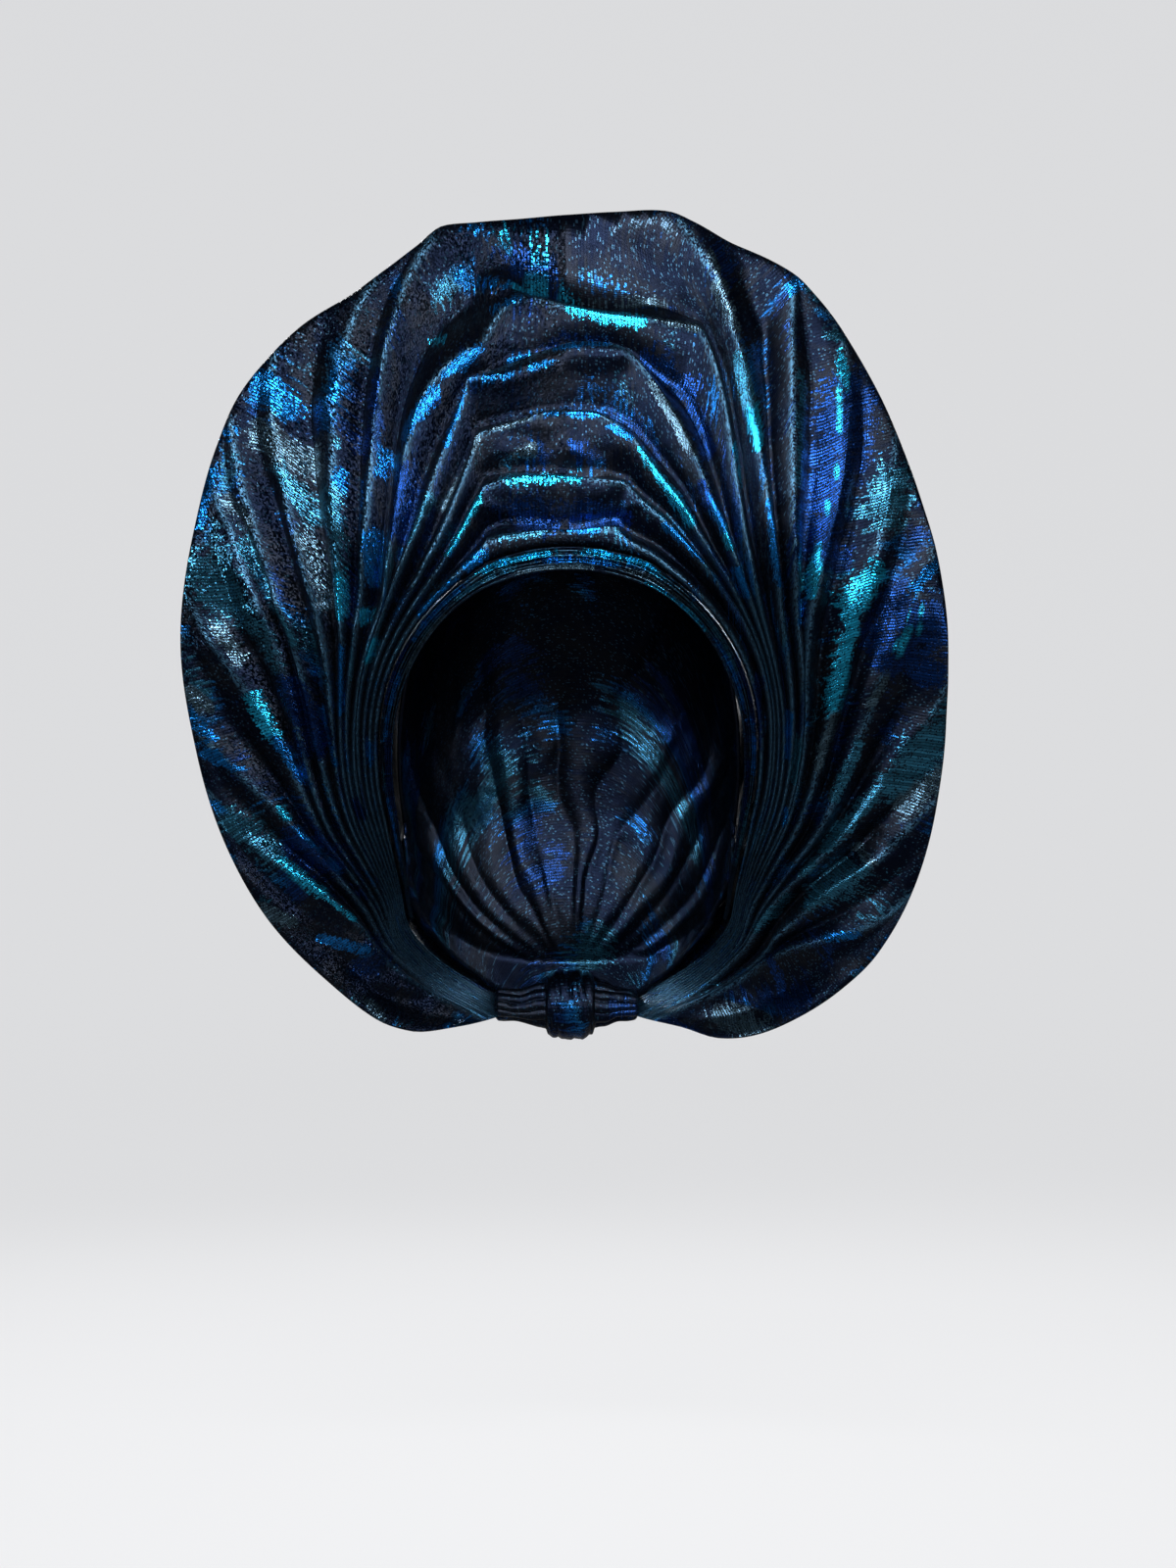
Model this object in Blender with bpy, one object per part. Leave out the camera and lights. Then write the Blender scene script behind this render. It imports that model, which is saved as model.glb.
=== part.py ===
"""Tied gele head tie: a stiff metallic head cloth pleated round the face, opened into a round fan, and tied at the nape.

Four pieces: the pleated fan, the packed brow pleats round the face, the crown wrap over the head, and the nape knot.
Metres, +Z up, the face looks along -Y. The origin is the inner top of the crown wrap, where the head carries it.
"""

import math

import bmesh
import bpy
import numpy as np

# ---------------------------------------------------------------- driving sizes
UNIT = 0.000375                    # metres in one unit of the front drawing's radii
EYE = (0.0075, -1.03, -0.015)      # the front drawing is seen from here, relative to the face's middle
PLANE = -0.030                     # depth at which one drawing unit is UNIT
CROWN_SEAT = (0.0, 0.010, 0.09366)  # inner top of the crown wrap, relative to the face's middle
WALL = 0.0016                      # cloth wall
PLEAT_DEPTH = 0.0090               # deepest valley behind its crests
PLEAT_FILL = 1.3                   # how fast a pleat deepens as its crests part
RIM_FADE = 0.026                   # the folds die away over this width inside the rim
GAP = 0.0006                       # gap kept between pieces
END_ANGLE = 166.0                  # the cloth goes round the face this far either side of the top
STATION = END_ANGLE / 30           # one section of the fan and the brow pleats to the next
FAN_SIDE, BAND_SIDE = 30, 25       # sections either side of the top
BAND_DEPTH = 0.0085
WRAP_ARCHES, WRAP_STEPS = 14, 20

# The fan's outline, seen from the front. angle: degrees from the top, negative on the wearer's right. radius: drawing units.
RIM = (
    # angle, radius
    (-166, 285), (-158, 311), (-151, 334), (-145, 342), (-136, 344), (-120, 355), (-107, 364), (-91, 380),
    (-75, 410), (-60, 441), (-50, 470), (-43, 491), (-39, 498), (-31, 508), (-27, 509), (-21, 520), (-17, 532),
    (-13.5, 545), (-10, 540), (-6, 536), (0, 535), (6, 542), (10.8, 553), (13.5, 549), (18, 538), (25.6, 534),
    (33, 505), (40, 479), (50, 448), (62, 424), (75, 401), (87, 384), (100, 381), (116, 382), (124, 381),
    (132, 374), (140, 364), (147, 353), (153, 336), (158, 311), (166, 285),
)

# The face opening, and the line between the brow pleats and the fan. angle: either side of the top. Drawing units.
INNER = (
    # angle, face_edge, fan_root
    (0, 178, 205), (13, 179, 205), (23, 180, 206), (30, 181, 203), (45, 180, 199), (70, 178, 196),
    (90, 179, 194), (110, 187, 199), (120, 197, 207), (130, 214, 222), (140, 240, 246), (150, 250, 254),
    (158, 254, 258), (166, 262, 265),
)

# Depth behind (+) the face's middle, in millimetres. belly: how far the cloth between swells forward.
DEPTH = (
    # angle, root, rim, belly
    (0, -90, -52, 6), (30, -84, -49, 6), (60, -58, -38, 3), (90, -24, -20, 1), (110, -2, -8, 0),
    (120, 11, 0, 0), (130, 33, 10, 0), (140, 54, 24, 0), (150, 71, 42, 0), (158, 80, 57, 0), (166, 86, 73, 0),
)

# The pleats, from the face outwards. slot: place in the packed stack beside the face. top: radius over the brow.
# Each side turns down at a corner (angle, radius), then falls towards the stack over fall degrees, with bend as its curve.
# lean: where the valley lies between this crest and the next one out, over the brow.
PLEATS = (
    # name, slot, top, (corner angle, radius, fall, bend) left, the same right, lean
    ("brow_step", 0.06, 219, (20, 224, 6, 0.7), (13, 230, 5, 0.7), 0.22),
    ("step_1", 0.17, 276, (18.4, 275, 12, 0.93), (13, 275, 23.5, 0.78), 0.18),
    ("step_2", 0.28, 342, (16.6, 330, 12.8, 0.92), (11.7, 321, 20, 0.98), 0.18),
    ("step_3", 0.39, 408, (15.3, 385, 17.2, 1.0), (8, 407, 22.6, 1.2), 0.22),
    ("step_4", 0.50, 448, (12.6, 420, 24.6, 1.8), (17.5, 447, 17.5, 1.22), 0.30),
    ("corner", 0.62, 640, (13.5, 545, 22.6, 1.35), (10.8, 553, 24, 1.28), 0.5),
    ("shoulder_1", 0.73, 650, (20, 522, 25, 1.56), (25.6, 534, 16.3, 0.95), 0.5),
    ("shoulder_2", 0.84, 660, (36, 503, 18.9, 1.39), (32, 510, 20, 1.41), 0.5),
    ("side_1", 1.00, 670, (45, 487, 18.2, 1.19), (46, 463, 20, 1.17), 0.5),
    ("side_2", 1.25, 680, (53, 463, 15.2, 1.02), (62, 425, 19, 0.96), 0.5),
    ("side_3", 1.45, 690, (67, 425, 15.8, 1.35), (78, 396, 23.5, 1.43), 0.5),
    ("jaw_1", 1.80, 700, (84, 392, 14, 1.54), (98, 381, 22.5, 1.0), 0.5),
    ("jaw_2", 2.30, 710, (94, 376, 16.8, 1.66), (113, 381, 18.8, 2.4), 0.5),
)
STACK = ((0, 50), (90, 50), (110, 45), (120, 35), (130, 25), (140, 18), (166, 12))  # angle, packed stack's width

# The crown wrap's arches, front to nape, each an inverted U hinged behind the jaws. tilt: degrees up from the face's
# front at its top, and at its feet. reach: millimetres from the hinge line to its top. half: half width.
HINGE = (0.029, -0.033)            # depth and height of the hinge line
ARCHES = (
    # name, tilt, foot_tilt, reach, half
    ("brow", 42.5, 28, 147.5, 66.5), ("fore", 64, 52, 135.5, 71), ("crown", 85, 78, 126.6, 75),
    ("back", 112, 112, 115, 76), ("occiput", 145, 146, 92, 74.5), ("upper_nape", 184, 184, 66, 69),
    ("nape", 229, 248, 76, 62),
)
ARCH_FOOT, FOOT_HALF, ARCH_POWER = 0.004, 66.0, 2.6

KNOT_AT = (-0.0009, 0.0795, -0.1085)  # the knot's middle, relative to the face's middle
KNOT = (
    # along, depth, height: half sizes in millimetres at each section
    (-24, 5, 5), (-21.5, 7, 7), (-15, 8.5, 9.5), (-10.5, 8.5, 10.5), (-9.5, 11, 13), (-5, 12.6, 15), (0, 13, 15.4),
    (5, 12.6, 15), (9.5, 11, 13), (10.5, 8.5, 10.5), (15, 8.5, 9.5), (21.5, 7, 7), (24, 5, 5),
)


# ---------------------------------------------------------------- curves
def smooth(rows, column, at):
    """A curve through the rows' values in that column that never overshoots them, read at the given angles."""
    x = np.array([r[0] for r in rows], float)
    y = np.array([r[column] for r in rows], float)
    at = np.clip(np.asarray(at, float), x[0], x[-1])
    step = np.diff(x)
    slope = np.diff(y) / step
    m = np.zeros(len(x))
    m[0], m[-1] = slope[0], slope[-1]
    for i in range(1, len(x) - 1):
        if slope[i - 1] * slope[i] > 0:
            w1, w2 = 2 * step[i] + step[i - 1], step[i] + 2 * step[i - 1]
            m[i] = (w1 + w2) / (w1 / slope[i - 1] + w2 / slope[i])
    k = np.clip(np.searchsorted(x, at) - 1, 0, len(x) - 2)
    t = (at - x[k]) / step[k]
    return (
        (1 + 2 * t) * (1 - t) ** 2 * y[k] + t * (1 - t) ** 2 * step[k] * m[k]
        + t * t * (3 - 2 * t) * y[k + 1] + t * t * (t - 1) * step[k] * m[k + 1]
    )


def place(angle, radius, depth):
    """A point of the front drawing at a depth, so that from EYE it shows where it is drawn."""
    a = np.radians(angle)
    s = 1 + (depth - PLANE) / (PLANE - EYE[1])
    x = EYE[0] + (radius * UNIT * np.sin(a) - EYE[0]) * s
    z = EYE[2] + (radius * UNIT * np.cos(a) - EYE[2]) * s
    return np.stack([x, depth + 0 * x, z], axis=-1) - np.array(CROWN_SEAT)


def root_radius(angle):
    return smooth(INNER, 2, np.abs(angle))


def rim_radius(angle):
    return smooth(RIM, 1, angle)


def cloth(angle, radius):
    """The fan's smooth form, under its pleats."""
    root, rim = root_radius(angle), rim_radius(angle)
    t = (radius - root) / (rim - root)
    side = np.abs(angle)
    front, back, belly = (smooth(DEPTH, c, side) / 1000 for c in (1, 2, 3))
    return place(angle, radius, front + (back - front) * t - belly * 4 * t * (1 - t))


def across(angle, radius):
    """Unit vectors straight back through the fan's smooth form."""
    da = cloth(angle + 0.5, radius) - cloth(angle - 0.5, radius)
    dr = cloth(angle, radius + 1) - cloth(angle, radius - 1)
    n = np.cross(da, dr)
    n *= np.where(n[..., 1] < 0, -1, 1)[..., None]
    return n / np.linalg.norm(n, axis=-1)[..., None]


def crest(pleat, angle):
    """Radius of a pleat's crest at these angles."""
    _, slot, top, left, right, _ = pleat
    side = np.abs(angle)
    stack = root_radius(angle) + slot * smooth(STACK, 1, side)
    out = np.empty_like(stack)
    for i, a in enumerate(angle):
        corner, radius, fall, bend = left if a < 0 else right
        if abs(a) < corner:
            arc = ((-left[0], left[1]), (0, top), (right[0], right[1]))
            out[i] = smooth(arc, 1, a)
        else:
            start = root_radius(corner) + slot * smooth(STACK, 1, corner)
            out[i] = stack[i] + (radius - start) * math.exp(-(((abs(a) - corner) / fall) ** bend))
    return out


# ---------------------------------------------------------------- the pleated fan
def fan_lines(angle):
    """Radius and set-back of the fan's lines at each angle: root, then crest and valley of each pleat, then rim."""
    root, rim = root_radius(angle), rim_radius(angle)
    least = 2.4
    count = len(PLEATS)
    crests = []
    low = root + 2.5
    for i, pleat in enumerate(PLEATS):
        r = np.maximum(crest(pleat, angle), low)
        r = np.minimum(r, rim - least * (count - i))
        crests.append(r)
        low = r + least
    lines, sets = [root], [np.full_like(root, 0.0014)]
    for i, pleat in enumerate(PLEATS):
        nearer = crests[i]
        further = crests[i + 1] if i + 1 < count else rim
        side = np.clip(np.abs(angle) / 35, 0, 1)
        lean = pleat[5] + (0.5 - pleat[5]) * side
        gap = (further - nearer) * UNIT
        valley = nearer + lean * (further - nearer)
        depth = PLEAT_DEPTH * (1 - np.exp(-PLEAT_FILL * gap / PLEAT_DEPTH))
        fade = np.clip((rim - valley) * UNIT / RIM_FADE, 0, 1)
        depth = depth * (0.12 + 0.88 * fade * fade * (3 - 2 * fade))
        lines += [nearer, valley]
        sets += [np.zeros_like(nearer), depth]
    lines.append(rim)
    sets.append(np.full_like(rim, 0.0005))
    return np.array(lines), np.array(sets)


def fan():
    angle = STATION * np.arange(-FAN_SIDE, FAN_SIDE + 1)
    lines, sets = fan_lines(angle)
    grid = np.broadcast_to(angle, lines.shape)
    back = across(grid, lines)
    near = cloth(grid, lines) + back * sets[..., None]
    width = np.maximum(np.diff(lines, axis=0, prepend=lines[:1]), np.diff(lines, axis=0, append=lines[-1:])) * UNIT
    step = np.abs(np.diff(sets, axis=0, prepend=sets[:1]))
    step = np.maximum(step, np.abs(np.diff(sets, axis=0, append=sets[-1:])))
    slope = np.minimum(step / np.maximum(width, 1e-4), 1.6)
    far = near + back * (WALL * np.sqrt(1 + slope**2))[..., None]
    return shell(near.transpose(1, 0, 2), far.transpose(1, 0, 2))


# ---------------------------------------------------------------- the packed brow pleats
BAND = (
    # across: share of the band's width from the face edge. back: share of its depth, a ridge at each pleat.
    (0.00, 0.30), (0.10, 0.06), (0.22, 0.20), (0.36, 0.00), (0.50, 0.20), (0.64, 0.00), (0.78, 0.20),
    (0.90, 0.03), (0.98, 0.26), (0.90, 0.62), (0.76, 1.00), (0.20, 1.00), (0.00, 0.80),
)


def brow_pleats():
    angle = STATION * np.arange(-BAND_SIDE, BAND_SIDE + 1)
    side = np.abs(angle)
    edge, root = smooth(INNER, 1, side), root_radius(angle) - GAP / UNIT
    taper = np.clip((BAND_SIDE * STATION - side) / 44, 0, 1)
    depth = BAND_DEPTH * (0.35 + 0.65 * taper)
    at = smooth(DEPTH, 1, side) / 1000
    rings = []
    for share, back in BAND:
        rings.append(place(angle, edge + (root - edge) * share, at - 0.0012 + depth * back))
    return tube(np.array(rings).transpose(1, 0, 2))


# ---------------------------------------------------------------- the crown wrap
def arch_point(w, b):
    """The wrap's inner surface: w runs from the brow arch (0) to the nape (1), b from its left foot (-1) to its right."""
    rows = [(i / (len(ARCHES) - 1), *a[1:]) for i, a in enumerate(ARCHES)]
    tilt, foot, reach, half = (smooth(rows, c, w) for c in (1, 2, 3, 4))
    turn = np.asarray(b) * math.pi / 2
    q = np.maximum(np.cos(turn), 0) ** (2 / ARCH_POWER)
    ease = 1 - (1 - q) ** 2.2
    x = (FOOT_HALF + (half - FOOT_HALF) * ease) / 1000 * np.sign(b) * np.abs(np.sin(turn)) ** (2 / ARCH_POWER)
    r = ARCH_FOOT + (reach / 1000 - ARCH_FOOT) * q
    a = np.radians(foot + (tilt - foot) * ease)
    return np.stack([x, HINGE[0] - r * np.cos(a), HINGE[1] + r * np.sin(a)], axis=-1) - np.array(CROWN_SEAT)


def crown_wrap():
    w = np.linspace(0, 1, WRAP_ARCHES)
    b = np.linspace(-1, 1, WRAP_STEPS + 1)
    b = np.sign(b) * (0.75 * np.abs(b) + 0.25 * np.abs(b) ** 2)
    W, B = np.meshgrid(w, b, indexing="ij")
    near = arch_point(W, B)
    e = 0.004
    dw = arch_point(np.minimum(W + e, 1), B) - arch_point(np.maximum(W - e, 0), B)
    db = arch_point(W, np.minimum(B + e, 1)) - arch_point(W, np.maximum(B - e, -1))
    n = np.cross(dw, db)
    n /= np.linalg.norm(n, axis=-1)[..., None]
    middle = np.array([0, 0.010, -0.03]) - np.array(CROWN_SEAT)
    n *= np.where(((near - middle) * n).sum(-1) < 0, -1, 1)[..., None]
    return shell(near, near + n * WALL)


# ---------------------------------------------------------------- the nape knot
def nape_knot():
    sides = 16
    turn = np.linspace(0, 2 * math.pi, sides, endpoint=False)
    rings = []
    for along, deep, high in KNOT:
        y = KNOT_AT[1] + deep / 1000 * np.cos(turn)
        z = KNOT_AT[2] + high / 1000 * np.sin(turn)
        rings.append(np.stack([np.full(sides, along / 1000), y, z], -1) - np.array(CROWN_SEAT))
    return tube(np.array(rings))


# ---------------------------------------------------------------- meshes
def shell(near, far):
    """A closed wall between two grids of points."""
    rows, columns = near.shape[:2]
    points = np.concatenate([near.reshape(-1, 3), far.reshape(-1, 3)])
    at = np.arange(rows * columns).reshape(rows, columns)
    more = rows * columns
    faces = []
    for i in range(rows - 1):
        for j in range(columns - 1):
            a, b, c, d = at[i, j], at[i, j + 1], at[i + 1, j + 1], at[i + 1, j]
            faces += [(a, b, c, d), (d + more, c + more, b + more, a + more)]
    edge = list(at[0]) + list(at[1:, -1]) + list(at[-1, -2::-1]) + list(at[-2:0:-1, 0])
    for i, a in enumerate(edge):
        b = edge[(i + 1) % len(edge)]
        faces.append((b, a, a + more, b + more))
    return points, faces


def tube(rings):
    """A closed solid through rings of points, with its two ends filled."""
    count, sides = rings.shape[:2]
    points = rings.reshape(-1, 3)
    faces = []
    for i in range(count - 1):
        for j in range(sides):
            k = (j + 1) % sides
            faces.append((i * sides + j, i * sides + k, (i + 1) * sides + k, (i + 1) * sides + j))
    faces.append(tuple(range(sides - 1, -1, -1)))
    faces.append(tuple((count - 1) * sides + j for j in range(sides)))
    return points, faces


def add(name, shape, finish):
    points, faces = shape
    mesh = bpy.data.meshes.new(name)
    mesh.from_pydata([tuple(map(float, p)) for p in points], [], [tuple(map(int, f)) for f in faces])
    work = bmesh.new()
    work.from_mesh(mesh)
    bmesh.ops.triangulate(work, faces=work.faces[:])
    bmesh.ops.recalc_face_normals(work, faces=work.faces[:])
    work.to_mesh(mesh)
    work.free()
    mesh.shade_smooth()
    mesh.set_sharp_from_angle(angle=math.radians(50))
    piece = bpy.data.objects.new(name, mesh)
    bpy.context.scene.collection.objects.link(piece)
    mesh.materials.append(finish)
    return piece


def material(name, colour, roughness, metallic):
    made = bpy.data.materials.new(name)
    made.use_nodes = True
    shader = made.node_tree.nodes["Principled BSDF"]
    shader.inputs["Base Color"].default_value = (*colour, 1)
    shader.inputs["Roughness"].default_value = roughness
    shader.inputs["Metallic"].default_value = metallic
    return made


def main():
    for old in list(bpy.data.objects):
        bpy.data.objects.remove(old, do_unlink=True)
    add("fan", fan(), material("fan_cloth", (0.012, 0.035, 0.085), 0.36, 0.7))
    add("brow_pleats", brow_pleats(), material("brow_cloth", (0.010, 0.028, 0.065), 0.38, 0.7))
    add("crown_wrap", crown_wrap(), material("wrap_cloth", (0.010, 0.026, 0.060), 0.42, 0.6))
    add("nape_knot", nape_knot(), material("knot_cloth", (0.010, 0.026, 0.060), 0.42, 0.6))


main()
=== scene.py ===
import math

import bmesh
import bpy
import numpy as np
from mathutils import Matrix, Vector


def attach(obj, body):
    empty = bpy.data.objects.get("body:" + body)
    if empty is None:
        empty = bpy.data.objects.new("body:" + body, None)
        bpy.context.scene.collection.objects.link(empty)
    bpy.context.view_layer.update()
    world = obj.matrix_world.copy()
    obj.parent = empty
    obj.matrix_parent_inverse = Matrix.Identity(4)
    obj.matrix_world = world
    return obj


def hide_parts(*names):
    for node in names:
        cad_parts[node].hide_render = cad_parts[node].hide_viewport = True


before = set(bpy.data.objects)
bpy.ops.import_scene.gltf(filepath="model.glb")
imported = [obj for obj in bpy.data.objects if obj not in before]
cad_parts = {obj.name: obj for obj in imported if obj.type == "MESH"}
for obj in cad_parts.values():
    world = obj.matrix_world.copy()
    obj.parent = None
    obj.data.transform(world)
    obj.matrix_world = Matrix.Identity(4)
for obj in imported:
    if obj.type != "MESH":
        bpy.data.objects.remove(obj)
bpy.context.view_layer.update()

# ---------------------------------------------------------------- sizes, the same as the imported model's
UNIT = 0.000375                    # metres in one unit of the front drawing's radii
EYE = (0.0075, -1.03, -0.015)      # the front drawing is seen from here, relative to the opening's middle
PLANE = -0.030
CROWN_SEAT = (0.0, 0.010, 0.09366)
END_ANGLE = 166.0

RIM = (
    # angle, radius
    (-166, 285), (-158, 311), (-151, 334), (-145, 342), (-136, 344), (-120, 355), (-107, 364), (-91, 380),
    (-75, 410), (-60, 441), (-50, 470), (-43, 491), (-39, 498), (-31, 508), (-27, 509), (-21, 520), (-17, 532),
    (-13.5, 545), (-10, 541.5), (-5, 539), (0, 541), (5, 546), (10.8, 554), (13.5, 549), (18.5, 538), (22.5, 536),
    (25.6, 533), (29, 523), (32.2, 512), (35.3, 500), (38.5, 488.5), (43.3, 472.5), (47.3, 459.5), (51.2, 448.5), (56.3, 436),
    (61.5, 426), (66.6, 416), (71.8, 407), (79, 395), (87, 386), (100, 381), (116, 382), (124, 381),
    (132, 374), (140, 364), (147, 353), (153, 336), (158, 311), (166, 285),
)
INNER = (
    # angle, opening's edge, fan's root
    (0, 178, 205), (13, 179, 205), (23, 180, 206), (30, 181, 203), (45, 180, 199), (70, 178, 196),
    (90, 179, 194), (110, 187, 199), (120, 197, 207), (130, 214, 222), (140, 240, 246), (150, 250, 254),
    (158, 254, 258), (166, 262, 265),
)
DEPTH = (
    # angle, root, rim, belly: millimetres
    (0, -90, -52, 6), (30, -84, -49, 6), (60, -58, -38, 3), (90, -24, -20, 1), (110, -2, -8, 0),
    (120, 11, 0, 0), (130, 33, 10, 0), (140, 54, 24, 0), (150, 71, 42, 0), (158, 80, 57, 0), (166, 86, 73, 0),
)
STACK = ((0, 50), (90, 50), (110, 45), (120, 35), (130, 25), (140, 18), (166, 12))

# The pleats, from the opening outwards. top: the crest between its two corners, as (angle, radius).
# fall and bend, left and right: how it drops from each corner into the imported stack.
# lean, left, middle and right: where the valley lies between this crest and the next one out, over the brow.
PLEATS = (
    # name, slot, top, fall, bend left, fall, bend right, lean
    ("brow_step", 0.06, ((-22, 224), (-12, 221), (0, 219), (13, 228)), (6, 0.7), (5, 0.7), (0.16, 0.12, 0.16)),
    ("step_1", 0.17, ((-18.4, 277), (-12.6, 279), (-6, 277), (1, 274), (7.4, 273), (13, 274)), (12, 0.93), (23.5, 0.78), (0.16, 0.10, 0.14)),
    ("step_2", 0.28, ((-16.6, 330), (-8.6, 335), (-3.4, 342), (3.2, 342.5), (11.9, 322)), (12.8, 0.92), (20, 0.98), (0.14, 0.10, 0.12)),
    ("step_3", 0.39, ((-15.3, 384), (-9, 392), (-3.8, 403), (2.2, 412), (6.1, 411.5), (9.6, 402)), (17.2, 1.0), (21.8, 1.2), (0.20, 0.10, 0.14)),
    ("step_4", 0.50, ((-12.6, 417), (-6.2, 460), (0.4, 446), (5.3, 441), (12.4, 443), (17.4, 447)), (24.6, 1.8), (17.5, 1.22), (0.44, 0.085, 0.17)),
    ("corner", 0.62, ((-13.5, 545), (0, 640), (10.8, 553)), (22.6, 1.35), (24, 1.28), (0.5, 0.5, 0.5)),
    ("shoulder_1", 0.73, ((-20, 522), (0, 650), (25.6, 534)), (25, 1.56), (16.3, 0.95), (0.5, 0.5, 0.5)),
    ("shoulder_2", 0.84, ((-36, 503), (0, 660), (32, 510)), (18.9, 1.39), (20, 1.41), (0.5, 0.5, 0.5)),
    ("side_1", 1.00, ((-45, 487), (0, 670), (46, 463)), (18.2, 1.19), (20, 1.17), (0.5, 0.5, 0.5)),
    ("side_2", 1.25, ((-53, 463), (0, 680), (62, 425)), (15.2, 1.02), (19, 0.96), (0.5, 0.5, 0.5)),
    ("side_3", 1.45, ((-67, 425), (0, 690), (78, 396)), (15.8, 1.35), (23.5, 1.43), (0.5, 0.5, 0.5)),
    ("jaw_1", 1.80, ((-84, 392), (0, 700), (98, 381)), (14, 1.54), (22.5, 1.0), (0.5, 0.5, 0.5)),
    ("jaw_2", 2.30, ((-94, 376), (0, 710), (113, 381)), (16.8, 1.66), (18.8, 2.4), (0.5, 0.5, 0.5)),
)
PLEAT_DEPTH = 0.0098
RIM_FADE = 0.034
CLOTH = 0.0011                     # wall of the fan, across the cloth

# Small creases across the panels. Points: drawing units to the right of and above the opening's middle. Height: mm forward.
CREASES = (
    (2.6, 9, ((-115, 474), (-60, 478), (3, 474), (60, 470), (112, 466))),
    # height, width, points
    (2.6, 7, ((-101, 371), (-63, 374), (-32, 387), (8, 399), (57, 397))),
    (1.4, 7, ((-83, 292), (-64, 300), (-45, 305))),
    (1.5, 7, ((-2, 308), (22, 292), (52, 273))),
    (-1.3, 9, ((-60, 318), (-20, 312), (10, 322))),
    (-1.8, 6, ((303, -96), (316, -101), (327, -107))),
    (1.2, 4, ((300, -103), (314, -109), (326, -114))),
    (1.2, 5, ((-240, -240), (-202, -242), (-151, -251))),
    (-1.0, 6, ((-232, -252), (-190, -254), (-150, -263))),
    (1.2, 4, ((151, -266), (186, -260), (249, -264))),
    (1.8, 8, ((310, -120), (275, -139), (240, -160))),
    (1.6, 8, ((296, -168), (262, -182), (214, -196))),
    (1.6, 8, ((-335, -128), (-290, -168), (-236, -196), (-196, -214))),
    (-1.4, 9, ((-330, -88), (-280, -112), (-235, -140))),
    (1.5, 8, ((-372, 96), (-352, 110), (-322, 128), (-296, 150))),
    (1.6, 8, ((-336, 172), (-312, 150), (-282, 120))),
    (-1.5, 9, ((-350, 216), (-322, 236), (-300, 262))),
    (1.6, 9, ((-250, 352), (-236, 330), (-226, 300))),
    (-1.4, 10, ((-152, 470), (-138, 455), (-121, 449))),
    (1.3, 8, ((-108, 486), (-60, 484), (0, 480))),
    (-1.2, 12, ((-90, 500), (-20, 512), (60, 510))),
    (1.4, 8, ((22, 471), (60, 468), (104, 465))),
    (1.5, 8, ((143, 505), (155, 478), (168, 440))),
    (-1.4, 10, ((186, 470), (192, 440), (196, 400))),
    (1.2, 8, ((262, 410), (276, 420), (288, 430))),
    (1.3, 9, ((312, 250), (330, 262), (352, 270))),
    (1.6, 9, ((372, 196), (352, 174), (336, 150))),
    (-1.4, 9, ((352, 100), (334, 70), (318, 36))),
    (1.5, 8, ((372, 30), (348, 6), (320, -26))),
    (1.3, 7, ((-88, 246), (-60, 236), (-20, 232), (40, 236), (66, 246))),
)

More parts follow.
